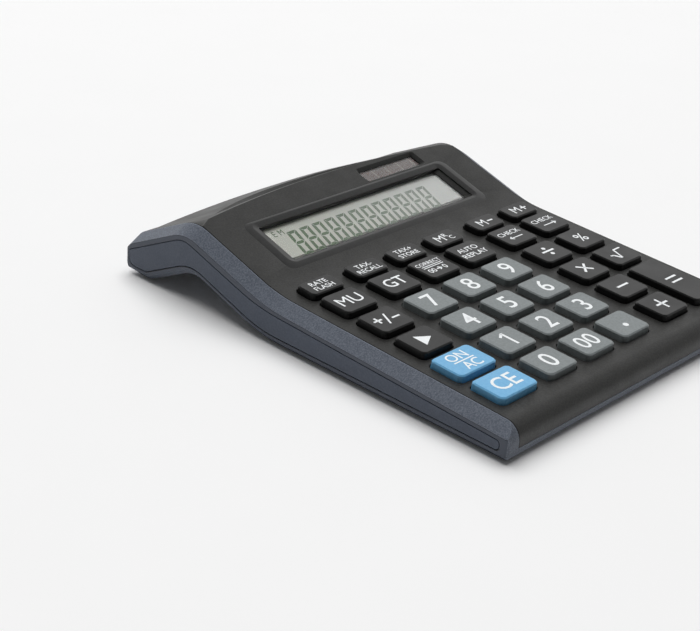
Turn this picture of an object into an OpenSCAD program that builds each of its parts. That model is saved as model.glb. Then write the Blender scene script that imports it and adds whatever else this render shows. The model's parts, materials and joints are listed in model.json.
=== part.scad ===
/* [Case] */
// Overall width across the two side rails
body_w = 148; // [146:1:158]
// Overall length from front to rear
body_l = 176; // [174:1:184]
// Height of the deck at the front edge
front_h = 11.9; // [11.6:0.1:13]
// Slope of the key deck in degrees
deck_tilt = 2.5; // [2:0.1:3]
// Height at which the display slope and the rear slope would meet
crest_h = 29.1; // [28.5:0.1:30]
// Distance of that meeting line from the rear end
crest_back = 30.7; // [30:0.1:32]
// Slope of the display face in degrees
display_tilt = 17; // [16:0.5:18]
// Slope of the rear face in degrees
rear_tilt = 26.5; // [26:0.5:28]
// Radius of the sweep from the deck up to the display
sweep_r = 65; // [50:5:80]
// Radius over the crest
crest_r = 16; // [12:1:18]
// Radius at the top of the rear end
rear_top_r = 6.2; // [5:0.1:6.6]
// Radius at the bottom of the rear end
rear_low_r = 6.2; // [5:0.1:6.4]
// Radius along the front top edge
front_top_r = 6; // [4:0.1:6.4]
// Radius along the front bottom edge
front_low_r = 2.2; // [1.5:0.1:3]
// Radius of the four upright corners
plan_r = 1.5; // [1:0.1:1.6]

/* [Arch] */
// Height of the arch under the display before its top is rounded
arch_h = 12; // [11:0.1:12.6]
// Distance of the top of the arch from the rear end
arch_back = 34.5; // [33.5:0.1:36]
// Slope of the underside in front of the arch top in degrees
arch_front_tilt = 18; // [17:0.5:19]
// Slope of the underside behind the arch top in degrees
arch_rear_tilt = 26.5; // [26:0.5:28]
// Radius at the top of the arch
arch_r = 13; // [8:1:14]
// Radius where the flat underside turns up into the arch
knee_r = 60; // [30:5:80]
// Radius where the arch comes down to the rear foot
heel_r = 6; // [4:1:7]

/* [Walls] */
// Thickness of the top shell
plate_t = 1.8; // [1.6:0.1:2]
// Thickness of the top shell on the rear slope
rear_plate_t = 2.2; // [2:0.1:2.6]
// Thickness of the floor
floor_t = 1.8; // [1.5:0.1:2]
// Thickness of the front and rear walls
wall_t = 2; // [1.6:0.1:2.4]
// Thickness of the side walls
side_t = 2.6; // [2.4:0.1:3]
// Thickness of the ledge that carries the top shell
ledge_t = 1.6; // [1.2:0.1:2]
// Width of the ledge under the edge of the top shell
ledge_w = 2; // [1.5:0.1:2.2]
// Gap between the two shells
shell_gap = 0.15; // [0.1:0.05:0.25]
// Height of the seam on the front face
seam_front_h = 4.4; // [4:0.1:5]
// Height of the seam on the rear face
seam_rear_h = 8.6; // [8:0.1:10]

/* [Rails] */
// Width of the sloped band along each side
rail_w = 5.4; // [5:0.1:5.8]
// Fall of the band across its width
rail_drop = 3.2; // [2.8:0.1:3.4]
// Width of the undercut along the lower edge
tuck_w = 1.8; // [1:0.1:2]
// Angle of the undercut in degrees
tuck_tilt = 40; // [30:1:45]
// Depth of the recess for the side inlay
inlay_t = 1.1; // [0.9:0.1:1.3]
// Width of the groove round the side inlay
inlay_gap = 0.3; // [0.2:0.05:0.4]
// Distance of the inlay below the top line of the side
inlay_top = 4.6; // [4.4:0.1:5]
// Extra distance of the inlay below the display slope
inlay_more = 0.8; // [0.4:0.1:1]
// Distance of the inlay above the bottom line of the side
inlay_low = 2.9; // [2.6:0.1:3]
// Distance of the inlay from the front end
inlay_front = 3.2; // [3:0.1:4]
// Distance of the inlay from the rear end
inlay_rear = 1.7; // [1.6:0.1:2]
// Corner radius of the inlay
inlay_r = 1.6; // [1:0.1:1.6]

/* [Crown] */
// Rise of the rear slope in the middle
crown_h = 2.2; // [1.8:0.1:2.4]
// Radius of the crown across the rear slope
crown_r = 700; // [640:20:900]
// Distance from the rails at which the crown begins to fall away
crown_side = 5; // [4:0.5:8]
// Fall of the crown at the rails
crown_fall = 2.4; // [2:0.1:2.6]
// Radius of the edge between the display slope and the crown
crown_edge = 0.6; // [0.4:0.1:1]
// Length of the crescent hollow behind the crest
hollow_l = 114; // [104:2:118]
// Depth of the hollow from the crest towards the rear
hollow_d = 14; // [10:0.5:15]
// Height of the hollow's bottom above the plain rear slope, negative below it
hollow_low = -0.4; // [-0.6:0.1:0.2]
// Distance of the hollow from the crest line
hollow_from = 3.2; // [3:0.1:3.6]

/* [Display] */
// Width of the display recess at the surface
display_w = 101.6; // [98:0.1:103]
// Depth of the display recess at the surface
display_d = 21.9; // [21:0.1:22.2]
// Width of the bevel at the two ends
bevel_w = 3.4; // [2.5:0.1:4]
// Width of the bevel along the front and the rear
bevel_d = 2.2; // [1.8:0.1:2.5]
// Distance of the display's centre from the crest line
display_from = 21.3; // [21.2:0.1:22]
// Thickness of the display window
window_t = 1; // [0.8:0.1:1.2]
// Overlap of the window behind the edge of its opening
window_lap = 1.6; // [1.2:0.1:1.8]
// Gap between a window and what lies behind it
pane_gap = 0.1; // [0.05:0.05:0.2]
// Thickness of the liquid crystal panel
lcd_t = 1.8; // [1.4:0.1:2]
// Thickness of the frame behind the panel
frame_t = 1.6; // [1.2:0.1:1.8]
// Corner radius of the display recess
display_r = 2.4; // [1.5:0.1:3]

/* [Solar] */
// Width of the solar recess
solar_w = 33.6; // [30:0.2:35]
// Depth of the solar recess
solar_d = 8.4; // [8:0.1:8.6]
// Sideways place of the solar recess
solar_x = 30; // [28:1:32]
// Distance of the solar recess's centre from the crest line
solar_from = 3.8; // [3.6:0.1:4]
// Depth of the solar window below the display slope
solar_sink = 1.3; // [1.1:0.1:1.5]
// Width of the bevel round the solar window
solar_bevel = 1.4; // [1:0.1:1.6]
// Overlap of the solar window behind the edge of its opening
solar_lap = 1; // [0.8:0.1:1.2]
// Thickness of the solar window
solar_window_t = 0.8; // [0.6:0.1:1]
// Thickness of the solar cell
solar_cell_t = 1.1; // [0.9:0.1:1.4]

/* [Keys] */
// Spacing of the number columns
pitch_x = 21; // [20.6:0.1:21.4]
// Distance from the number columns to the left column
left_pitch = 22.8; // [22.4:0.1:23]
// Distance from the number columns to the sign column
sign_pitch = 24.4; // [24:0.1:24.6]
// Distance from the sign column to the right column
right_pitch = 20.7; // [20.4:0.1:20.8]
// Distance from the outer columns to the sides
field_side = 19.05; // [18.5:0.05:19.5]
// Sideways place of the middle number column
mid_x = -10.8; // [-11.2:0.1:-10.4]
// Spacing of the rows
pitch_y = 16.6; // [16.4:0.1:16.8]
// Distance of the front row from the front edge
row_from = 17.7; // [17.4:0.1:17.9]
// Distance from the second row to the short row behind it
short_pitch = 13.3; // [13.1:0.1:13.6]
// Distance from the short row to the crest line
display_run = 47.9; // [47.4:0.1:48.4]
// Width of the number and function key tops
key_w = 15.4; // [15:0.1:15.8]
// Width of the wide keys at the left
wide_key_w = 18.3; // [17.6:0.1:18.8]
// Depth of the key tops
key_d = 13.3; // [12.8:0.1:13.5]
// Depth of the short key tops
short_key_d = 8.8; // [8.4:0.1:9]
// Height of the key tops above the deck
key_rise = 2.4; // [2:0.1:3]
// Corner radius of the key tops
key_r = 1.8; // [1.2:0.1:2.2]
// Width of the softened edge round the key tops
key_edge = 0.45; // [0.3:0.05:0.6]
// Taper of the keys on each side
key_draft = 0.25; // [0.15:0.05:0.3]
// Gap round a key in its opening
key_gap = 0.3; // [0.25:0.05:0.35]
// Wall of the hollow key caps
key_wall = 1.2; // [1:0.1:1.4]
// Width of the stop tabs on both sides of a key
tab_w = 1.2; // [1:0.1:1.3]
// Length of the stop tabs
tab_l = 6; // [4:0.5:7]
// Thickness of the stop tabs
tab_t = 0.8; // [0.6:0.1:0.9]
// Gap between the stop tabs and the deck
tab_gap = 0.2; // [0.15:0.05:0.25]
// Diameter of the plunger under a key
plunger_dia = 5; // [4:0.1:5.4]
// Travel of the keys
key_travel = 1.4; // [1.2:0.1:1.5]

/* [Keypad] */
// Height of the rubber domes
dome_h = 1.9; // [1.8:0.05:2]
// Base diameter of the rubber domes
dome_dia = 8.4; // [7.6:0.1:8.6]
// Thickness of the rubber sheet and its domes
rubber_t = 0.6; // [0.5:0.05:0.7]
// Thickness of the circuit board
board_t = 1.2; // [1:0.1:1.3]
// Distance of the board's edge beyond the outer key centres
board_edge = 5.2; // [5:0.1:5.4]

/* [Fasteners] */
// Diameter of the case screws
screw_dia = 2.2; // [2:0.1:2.4]
// Head diameter of the case screws
screw_head = 4.4; // [4:0.1:4.6]
// Head height of the case screws
screw_head_h = 1.4; // [1.2:0.1:1.6]
// Grip of a case screw in its pillar
screw_grip = 3; // [2.6:0.1:3.2]
// Diameter of the case pillars
pillar_dia = 4.8; // [4.6:0.1:5]
// Diameter of the small screws
small_dia = 1.6; // [1.4:0.1:1.8]
// Head diameter of the small screws
small_head = 3; // [2.6:0.1:3.2]
// Head height of the small screws
small_head_h = 0.9; // [0.7:0.1:1]
// Length of the small screws under the head
small_len = 3.8; // [3.6:0.1:4]
// Diameter of the small posts
post_dia = 4; // [3.6:0.1:4.2]
// Gap round the fasteners
screw_gap = 0.1; // [0.05:0.05:0.2]

/* [Feet] */
// Clearance of the case above the table
foot_h = 0.8; // [0.6:0.1:1]
// Depth of the foot pockets
foot_in = 0.6; // [0.4:0.1:0.8]
// Length of the feet
foot_l = 20; // [14:1:24]
// Width of the feet
foot_w = 4; // [3.4:0.1:4.2]

/* [Battery] */
// Diameter of the button cell
cell_dia = 11.6; // [11:0.1:12]
// Thickness of the button cell
cell_t = 3.05; // [2.6:0.05:3.1]
// Thickness of the battery contacts
contact_t = 0.3; // [0.2:0.05:0.35]
// Width of the battery cover
cover_w = 18; // [17:0.5:20]
// Length of the battery cover
cover_l = 28; // [27:0.5:30]
// Thickness of the battery cover
cover_t = 1.6; // [1.4:0.1:1.7]
// Gap round the battery cover
cover_gap = 0.2; // [0.15:0.05:0.3]

/* [Hidden] */
$fa = 3;
$fs = 0.2;
front_y = -body_l / 2;
rear_y = body_l / 2;

// Sizes across share the width, and sizes along share the length
kx = body_w / (left_pitch + 2 * pitch_x + sign_pitch + right_pitch + 2 * field_side);
ky = body_l / (row_from + 4 * pitch_y + short_pitch + display_run + crest_back);
crest_y = rear_y - ky * crest_back;
crest_z = front_h + ky * (crest_h - front_h);
arch_y = rear_y - ky * arch_back;
arch_z = foot_h + ky * (arch_h - foot_h);
bend_r = ky * sweep_r;
recess_w = kx * display_w;
recess_d = ky * display_d;
recess_from = ky * display_from;
cell_w = kx * solar_w;
cell_d = ky * solar_d;
cell_x = kx * solar_x;
top_w = key_w + (kx - 1) * pitch_x;
wide_top_w = wide_key_w + (kx - 1) * left_pitch;
top_d = key_d + (ky - 1) * pitch_y;
short_top_d = short_key_d + (ky - 1) * short_pitch;

rail_x = body_w / 2 - rail_w;
rail_tilt = atan(rail_drop / rail_w);
rail_lap = 0.05;
tuck_step = 0.3;
ledge_x = rail_x - ledge_w;
far = 300;
chord = 0.02;
skin = 0.01;
over = 1;
hull_fn = 24;

deck_line = [front_h - front_y * tan(deck_tilt), tan(deck_tilt)];
display_line = [crest_z - crest_y * tan(display_tilt), tan(display_tilt)];
rear_line = [crest_z + crest_y * tan(rear_tilt), -tan(rear_tilt)];
floor_line = [foot_h, 0];
arch_up = [arch_z - arch_y * tan(arch_front_tilt), tan(arch_front_tilt)];
arch_down = [arch_z + arch_y * tan(arch_rear_tilt), -tan(arch_rear_tilt)];

// Levels under the deck: stop tabs, then domes, then the rubber sheet on the board
tab_n = -plate_t - tab_gap - tab_t;
board_n = tab_n - dome_h - rubber_t;
board_under_n = board_n - board_t;
floor_top = foot_h + floor_t;

// Rows from the front, columns from the left
rows = ky * [for (i = [0:4]) row_from + i * pitch_y, row_from + 4 * pitch_y + short_pitch];
cols = kx * [mid_x - pitch_x - left_pitch, mid_x - pitch_x, mid_x, mid_x + pitch_x,
             mid_x + pitch_x + sign_pitch, mid_x + pitch_x + sign_pitch + right_pitch];
tab_root = 0.3;
key_rib = 1;
tall_top_d = top_d + ky * pitch_y;
tall_s = (rows[0] + rows[1]) / 2;

// The short row stands where the deck already sweeps up
sweep_at = meet(deck_line, display_line);
sweep_run = bend_r * tan((display_tilt - deck_tilt) / 2);
short_run = max(0, front_y + rows[5] * cos(deck_tilt) - sweep_at[0] + sweep_run);
short_rise = pow(short_run, 2) / (2 * bend_r);
short_tilt = asin(short_run / bend_r);

// Board, rubber sheet and flat cable
edge_gap = 0.5;
board_front = rows[0] - top_d / 2 - edge_gap;
mat_edge = 0.4;
mat_r = 2;
mat_back = rows[5] + dome_dia / 2 + mat_edge;
board_mid_x = (cols[0] + cols[5]) / 2;
ribbon_t = 0.2;
ribbon_land = 3;
lead_t = 0.9;
lead_x = cell_w / 4;
lead_step = 3;
lead_drop = 1.5;
lead_sag = 2.5;
board_back = mat_back + ribbon_land + 2 * edge_gap;
post_gap = 0.4;
board_x = [(cols[1] + cols[2]) / 2, (cols[3] + cols[4]) / 2];
board_s = [for (i = [0, 2, 3]) (rows[i] + rows[i + 1]) / 2];

// Chip and capacitors under the board
chip_dia = 14;
chip_h = 1.4;
chip_x = (cols[0] + cols[1]) / 2;
chip_s = (rows[1] + rows[2]) / 2;
cap_w = 2.5;
cap_x = cols[4] + 2 * cap_w;
cap_d = 1.6;
cap_h = 1;

// Display stack, measured down from the display face
window_w = recess_w - 2 * bevel_w + 2 * window_lap;
window_d = recess_d - 2 * bevel_d + 2 * window_lap;
lcd_m = -plate_t - window_t - pane_gap - lcd_t;
frame_m = lcd_m - frame_t;
ribbon_w = window_w / 1.4;
ring_gap = 0.2;
ring_t = 1.2;
pane_r = 0.8;
frame_post_x = window_w / 2 + ring_gap + ring_t / 2 + post_dia / 2;
frame_post_t = window_d / 4;
frame_bar = 3;
frame_r = 2;
ring_r = 1;

// Solar stack, measured down from the display slope
solar_pane_w = cell_w - 2 * solar_bevel + 2 * solar_lap;
solar_pane_d = cell_d - 2 * solar_bevel + 2 * solar_lap;
solar_low = solar_sink + solar_window_t + pane_gap + solar_cell_t;
solar_t = recess_from - ky * solar_from;

// Case screws: x, y
pillar_gap = 1;
front_screw_x = body_w / 3;
rear_screw_x = body_w / 4;
rear_screw_back = 10;
front_screw_y = front_y + wall_t + pillar_dia / 2 + pillar_gap;
side_screw_y = front_y + board_back * cos(deck_tilt) + pillar_dia / 2 + pillar_gap;
side_screw_x = ledge_x - pillar_dia / 2 - ring_gap;
rear_screw_y = rear_y - rear_screw_back;
screw_places = [for (x = [-1, 1]) each [[x * front_screw_x, front_screw_y], [x * side_screw_x, side_screw_y],
                                        [x * rear_screw_x, rear_screw_y]]];
screw_sunk = 0.4;
boss_h = 2.5;
boss_wall = 0.8;
function boss_low(p) = z_under(p[1]) + screw_head_h + screw_sunk;

// Button cell and its compartment
cell_y = -body_l / 29;
cover_shift = 4;
cover_y = cell_y - cover_shift;
cover_screw_y = cover_y - cover_l / 2 + cover_shift;
cover_top = foot_h + cover_t;
cell_z = cover_top + contact_t;
cell_top = cell_z + cell_t;
cell_gap = 0.3;
cell_wall = 1.4;
pad_t = 1.6;
pad_top = cover_top + pad_t;
pad_rim = 2;
cover_r = 2;
finger_gap = 0.5;
finger_x = cell_dia / 2 + cell_gap + finger_gap;
finger_w = 2;
cell_step = 0.5;
contact_x = -1.2;
grip_w = 8;
grip_t = 0.7;
grip_step = 1.6;
grip_in = 0.4;
cover_boss_top = cover_top + small_len;

// Ribs on the floor
rib_t = 1.2;
rib_h = 1;
rib_x = (front_screw_x + rear_screw_x) / 2;
rib_y = front_y + (rows[1] + rows[2]) / 2;
rib_step = ky * pitch_y;

// Feet
foot_from = 12;
foot_side = 6;
front_foot_y = front_y + foot_from;
rear_foot_y = (rear_y - rear_low_r + meet(arch_down, floor_line)[0] + heel_r * tan(arch_rear_tilt / 2)) / 2;
foot_x = body_w / 2 - foot_side - foot_l / 2;
foot_gap = 0.1;

// Insides of the case: deck, display, rear slope, underside, front, rear
inside = [plate_t, plate_t, rear_plate_t, floor_t, wall_t, wall_t];
seam_run = 8;
seam_over = 5;
inlay_in = [inlay_top, inlay_top + inlay_more, inlay_top, inlay_low, inlay_front, inlay_rear];
seat = inside + shell_gap * [1, 1, 1, 0, 1, 1];
inside_ledge = inside + ledge_t * [1, 1, 1, 0, 0, 0];

// Colours
shell_black = "#3b3b3a";
rail_blue = "#4d5462";
inlay_blue = "#454b57";
key_black = "#4a4a49";
key_grey = "#8b9192";
key_blue = "#7fb9dc";

function z_at(l, y) = l[0] + l[1] * y;
function meet(a, b) = let (y = (b[0] - a[0]) / (a[1] - b[1])) [y, z_at(a, y)];
function lower(l, d) = [l[0] - d * sqrt(1 + l[1] * l[1]), l[1]];
function unit(v) = v / norm(v);
function z_under(y) = max(foot_h, min(z_at(arch_up, y), z_at(arch_down, y)));
function z_board(y) = z_at(deck_line, y) + board_under_n / cos(deck_tilt);
function deck_point(s, n) =
    [front_y + s * cos(deck_tilt) - n * sin(deck_tilt), front_h + s * sin(deck_tilt) + n * cos(deck_tilt)];
function display_point(t, m) =
    let (d = t - recess_from)
    [crest_y + d * cos(display_tilt) - m * sin(display_tilt),
     crest_z + d * sin(display_tilt) + m * cos(display_tilt)];

// Points of an arc of radius r in the corner at p, between the sides to a and b
function round_at(a, p, b, r) =
    r < 0.3 ? [p] :
    let (u = unit(a - p), v = unit(b - p), half = acos(u * v) / 2, turn = 180 - 2 * half,
         c = p + unit(u + v) * r / sin(half),
         from = unit(p + u * r / tan(half) - c), to = unit(p + v * r / tan(half) - c),
         n = max(2, ceil(turn / (2 * acos(1 - chord / r)))))
    [for (k = [0:n]) c + r * (sin((1 - k / n) * turn) * from + sin(k / n * turn) * to) / sin(turn)];

// Outline of a band of width t along the points p
function across(u) = [-u[1], u[0]];
function beside(p, i, h) =
    let (u = unit(p[max(i, 1)] - p[max(i, 1) - 1]), e = min(i + 1, len(p) - 1), v = unit(p[e] - p[e - 1]),
         m = unit(across(u) + across(v)))
    p[i] + m * h / (m * across(u));
function band(p, t) =
    let (n = len(p) - 1)
    [for (i = [0:n]) beside(p, i, t / 2), for (i = [n:-1:0]) beside(p, i, -t / 2)];

// Closed outline with the corners p rounded by the radii r
function round_path(p, r) =
    let (n = len(p))
    [for (i = [0:n - 1]) each round_at(p[(i + n - 1) % n], p[i], p[(i + 1) % n], r[i])];

// Side outline, moved inwards by o: deck, display, rear slope, underside, front, rear
function side_points(o, least, crest) =
    let (l1 = lower(deck_line, o[0]), l2 = lower(display_line, o[1]), l3 = lower(rear_line, o[2]),
         f = lower(floor_line, -o[3]), a1 = lower(arch_up, -o[3]), a2 = lower(arch_down, -o[3]),
         yf = front_y + o[4], yr = rear_y - o[5])
    round_path(
        [[yf, z_at(f, yf)], meet(f, a1), meet(a1, a2), meet(a2, f), [yr, z_at(f, yr)], [yr, z_at(l3, yr)],
         meet(l2, l3), meet(l1, l2), [yf, z_at(l1, yf)]],
        [max(least, front_low_r - o[4]), knee_r - o[3], arch_r + o[3], heel_r - o[3],
         max(least, rear_low_r - max(o[3], o[5])), max(least, rear_top_r - max(o[2], o[5])),
         max(least, crest - max(o[1], o[2])), bend_r + o[1],
         max(least, front_top_r - max(o[0], o[4]))]);

// Top line from the rear down to the front, and bottom line from the front to the rear
function top_points() =
    let (low = [rear_y, -far], rise = [rear_y, z_at(rear_line, rear_y)], top = [crest_y, crest_z],
         out = [front_y - far, z_at(deck_line, front_y - far)])
    concat([low], round_at(low, rise, top, rear_top_r), round_at(rise, top, sweep_at, crest_r),
           round_at(top, sweep_at, out, bend_r), [out, [front_y - far, -far]]);
function bottom_points() =
    let (a = [-far, foot_h], b = [far, foot_h],
         p = meet(floor_line, arch_up), q = [arch_y, arch_z], w = meet(arch_down, floor_line))
    concat([a], round_at(a, p, q, knee_r), round_at(p, q, w, arch_r), round_at(q, w, b, heel_r),
           [b, [far, far], [-far, far]]);

module profile(o = [0, 0, 0, 0, 0, 0], least = 0, crest = crest_r) {
    polygon(side_points(o, least, crest));
}

// Heights shortened by k, so that an extrusion tilted by acos(k) keeps the side outline
module shortened(points, k) {
    polygon([for (p = points) [p[0], p[1] * k]]);
}

module along_x(w) {
    rotate([90, 0, 90]) translate([0, 0, -w / 2]) linear_extrude(w) children();
}

module rounded(w, d, r) {
    polygon(round_path([[-w / 2, -d / 2], [w / 2, -d / 2], [w / 2, d / 2], [-w / 2, d / 2]], [r, r, r, r]));
}

module slab(w, d, r, t) {
    linear_extrude(t) rounded(w, d, r);
}

module block(w, d, z0, z1) {
    translate([-w / 2, -d / 2, z0]) cube([w, d, z1 - z0]);
}

module hull_slab(w, d, r) {
    for (x = [-1, 1], y = [-1, 1])
        translate([x * (w / 2 - r), y * (d / 2 - r), 0]) cylinder(r = r, h = skin, $fn = hull_fn);
}

module on_deck() {
    translate([0, front_y, front_h]) rotate([deck_tilt, 0, 0]) children();
}

module on_display() {
    translate([0, crest_y, crest_z]) rotate([display_tilt, 0, 0])
        translate([0, -recess_from, 0]) children();
}

module on_solar() {
    on_display() translate([cell_x, solar_t, 0]) children();
}

module on_rear() {
    translate([0, crest_y, crest_z]) rotate([-rear_tilt, 0, 0]) children();
}

module both_sides() {
    children();
    mirror([1, 0, 0]) children();
}

// Limit of the sloped band and cut for the undercut along the right side
module rail_limit() {
    translate([rail_x - rail_lap, 0, 0]) rotate([0, rail_tilt, 0])
        along_x(2 * body_w) shortened(top_points(), cos(rail_tilt));
}

module tuck_cut() {
    difference() {
        translate([body_w / 2 - tuck_w, -body_l, -far]) cube([2 * tuck_w, 2 * body_l, 2 * far]);
        translate([body_w / 2 - tuck_w, 0, tuck_step]) rotate([0, -tuck_tilt, 0])
            along_x(3 * body_w) shortened(bottom_points(), cos(tuck_tilt));
    }
}

module outer_body() {
    difference() {
        intersection() {
            along_x(body_w) profile();
            rail_limit();
            mirror([1, 0, 0]) rail_limit();
            slab(body_w, body_l, plan_r, far);
        }
        both_sides() tuck_cut();
    }
}

// Everything above the seam between the two shells, moved down by d
module above_seam(d) {
    knee = meet(floor_line, arch_up);
    polygon([[front_y - far, seam_front_h - d], [front_y + seam_run, seam_front_h - d],
             [knee[0], floor_top + seam_over], [arch_y, arch_z + seam_over],
             [rear_y - seam_run, seam_rear_h - d], [rear_y + far, seam_rear_h - d],
             [rear_y + far, far], [front_y - far, far]]);
}

module key_openings() {
    wide = 2 * (key_draft + key_gap);
    for (r = [0:5], c = [0:5])
        if (c < 5 || r > 1)
            translate([cols[c], rows[r], -far / 10])
                slab((c == 0 && r < 2 ? wide_top_w : top_w) + wide, (r == 5 ? short_top_d : top_d) + wide,
                     key_r + key_draft + key_gap, far / 5);
    translate([cols[5], tall_s, -far / 10])
        slab(top_w + wide, tall_top_d + wide, key_r + key_draft + key_gap, far / 5);
}

// Recess w by d at the surface, its walls sloped in by bw and bd down to depth h and on below it
module bevelled(w, d, bw, bd, r, h) {
    k = 1.3;
    hull() {
        translate([0, 0, h]) hull_slab(w + 2 * bw, d + 2 * bd, 1.5 * r);
        translate([0, 0, -k * h]) hull_slab(w - 2 * k * bw, d - 2 * k * bd, (1 - k / 2) * r);
    }
}

module case_pillars() {
    intersection() {
        for (p = screw_places)
            translate([p[0], p[1], boss_low(p) + boss_h]) cylinder(d = pillar_dia, h = far);
        along_x(body_w) profile([plate_t / 2, plate_t / 2, rear_plate_t / 2, 0, 0, 0]);
    }
}

module solar_box() {
    on_solar()
        block(solar_pane_w + 2 * (ring_gap + ring_t), solar_pane_d + 2 * (ring_gap + ring_t),
              -solar_low, -plate_t / 2);
}

// Shell of the raised rear slope, crowned across and falling away towards the rails
module crown() {
    out = rail_x - 2 * shell_gap;
    in = rail_x - crown_side;
    steps = ceil(in / sqrt(2 * chord * crown_r));
    ridge = [for (i = [-steps:steps]) let (x = in * i / steps) [x, crown_h - x * x / (2 * crown_r)]];
    intersection() {
        along_x(2 * out) intersection() {
            difference() {
                profile([0, 0, -crown_h, 0, 0, 0], 0, crown_edge);
                profile(inside);
            }
            above_seam(-over);
        }
        on_rear() translate([0, body_l / 2, 0]) rotate([90, 0, 0]) linear_extrude(body_l)
            polygon(concat([[-out, -crown_fall]], ridge, [[out, -crown_fall], [out, -far], [-out, -far]]));
    }
}

// Crescent between a straight edge along the crest and a wide arc, with a sloped rear wall
module hollow() {
    r = (pow(hollow_l / 2, 2) + pow(hollow_d, 2)) / (2 * hollow_d);
    deep = crown_h + over;
    on_rear() translate([0, hollow_from, hollow_low]) intersection() {
        translate([0, hollow_d - r, 0]) cylinder(r1 = r, r2 = r + deep, h = deep);
        translate([0, body_l / 2, 0]) block(body_w, body_l, 0, deep);
    }
}

module display_ring() {
    difference() {
        translate([0, 0, lcd_m])
            slab(window_w + 2 * (ring_gap + ring_t), window_d + 2 * (ring_gap + ring_t), ring_r,
                 -lcd_m - plate_t / 2);
        block(window_w + 2 * ring_gap, window_d + 2 * ring_gap, lcd_m - over, -plate_t);
    }
}

module upper_case() {
    color(shell_black)
    difference() {
        union() {
            along_x(2 * (rail_x - shell_gap)) intersection() {
                difference() {
                    profile();
                    profile(inside);
                }
                above_seam(0);
            }
            case_pillars();
            on_deck() for (x = board_x, s = board_s)
                translate([x, s, board_n]) cylinder(d = post_dia, h = -board_n - plate_t / 2);
            on_display() {
                display_ring();
                for (x = [-1, 1], t = [-1, 1]) translate([x * frame_post_x, t * frame_post_t, lcd_m])
                    cylinder(d = post_dia, h = -lcd_m - plate_t / 2);
            }
            crown();
            solar_box();
        }
        hollow();
        on_deck() key_openings();
        on_display() bevelled(recess_w, recess_d, bevel_w, bevel_d, display_r, plate_t);
        on_solar() {
            bevelled(cell_w, cell_d, solar_bevel, solar_bevel, solar_bevel, solar_sink);
            block(solar_pane_w + 2 * ring_gap, solar_pane_d + 2 * ring_gap, -solar_low - over, -solar_sink);
        }
        for (p = screw_places) translate([p[0], p[1], 0])
            cylinder(d = screw_dia + 2 * screw_gap, h = boss_low(p) + boss_h + screw_grip + screw_gap);
        on_deck() for (x = board_x, s = board_s)
            translate([x, s, board_n - over])
                cylinder(d = small_dia + 2 * screw_gap, h = over + small_len - board_t + screw_gap);
        on_display() for (x = [-1, 1], t = [-1, 1])
            translate([x * frame_post_x, t * frame_post_t, lcd_m - over])
                cylinder(d = small_dia + 2 * screw_gap, h = over + small_len - frame_t + screw_gap);
    }
}

module case_bosses() {
    intersection() {
        for (p = screw_places) translate([p[0], p[1], 0])
            cylinder(d = pillar_dia + 2 * boss_wall, h = boss_low(p) + boss_h);
        along_x(body_w) profile([0, 0, 0, floor_t / 2, wall_t / 2, wall_t / 2]);
    }
}

module floor_ribs() {
    low = foot_h + floor_t / 2;
    for (i = [-1, 0, 1]) translate([0, rib_y + i * rib_step, 0])
        block(2 * ledge_x + 2 * over, rib_t, low, floor_top + rib_h);
    for (x = [-rib_x, rib_x]) translate([x, rib_y, 0])
        block(rib_t, 2 * rib_step + rib_x / 2, low, floor_top + rib_h);
}

module battery_bay() {
    translate([0, cover_y, foot_h + floor_t / 2])
        slab(cover_w + 2 * pad_rim, cover_l + 2 * pad_rim, cover_r + pad_rim,
             pad_top - foot_h - floor_t / 2);
    translate([0, cell_y, cover_top])
        cylinder(d = cell_dia + 2 * (cell_gap + cell_wall), h = cell_t + contact_t);
    translate([0, cover_screw_y, cover_top]) cylinder(d = post_dia, h = cover_boss_top - cover_top);
}

module lower_case() {
    color(rail_blue)
    difference() {
        union() {
            difference() {
                outer_body();
                along_x(2 * ledge_x) profile(inside);
                along_x(body_w - 2 * side_t) profile(inside_ledge);
                along_x(2 * rail_x) intersection() {
                    difference() {
                        profile(-inside);
                        profile(seat);
                    }
                    above_seam(shell_gap);
                }
            }
            case_bosses();
            floor_ribs();
            battery_bay();
        }
        both_sides() translate([(body_w - inlay_t + over) / 2, 0, 0])
            along_x(inlay_t + over) profile(inlay_in, inlay_r);
        for (p = screw_places) translate([p[0], p[1], 0]) {
            cylinder(d = screw_head + 2 * screw_gap, h = boss_low(p));
            cylinder(d = screw_dia + 4 * screw_gap, h = boss_low(p) + boss_h + over);
        }
        translate([0, cover_y, 0]) slab(cover_w, cover_l, cover_r, cover_top);
        translate([0, cell_y, cover_top - over])
            cylinder(d = cell_dia + 2 * cell_gap, h = cell_t + contact_t + 3 * over);
        translate([finger_x, cell_y, 0])
            block(2 * (contact_t + finger_gap), finger_w + 2 * finger_gap, cover_top - over, cell_top + over);
        translate([0, cover_screw_y, cover_top - over]) cylinder(d = small_dia + 2 * screw_gap, h = far);
        for (x = [-1, 1], y = [front_foot_y, rear_foot_y]) translate([x * foot_x, y, 0])
            slab(foot_l + 2 * foot_gap, foot_w + 2 * foot_gap, foot_w / 2, foot_h + foot_in);
    }
}

module side_inlay() {
    g = inlay_gap;
    translate([body_w / 2 - inlay_t / 2, 0, 0]) along_x(inlay_t)
        profile(inlay_in + [g, g, g, g, g, g], inlay_r - g);
}

module side_inlay_left() {
    color(inlay_blue) mirror([1, 0, 0]) side_inlay();
}

module side_inlay_right() {
    color(inlay_blue) side_inlay();
}

module display_window() {
    color("#dfe6e6", 0.4) on_display() translate([0, 0, -plate_t - window_t])
        slab(window_w, window_d, pane_r, window_t);
}

module lcd_panel() {
    color("#b5b6b2") on_display() {
        translate([0, 0, lcd_m]) slab(window_w, window_d, pane_r, lcd_t / 2);
        translate([0, ribbon_land / 2, lcd_m + lcd_t / 2])
            slab(window_w, window_d - ribbon_land, pane_r, lcd_t / 2);
    }
}

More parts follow.
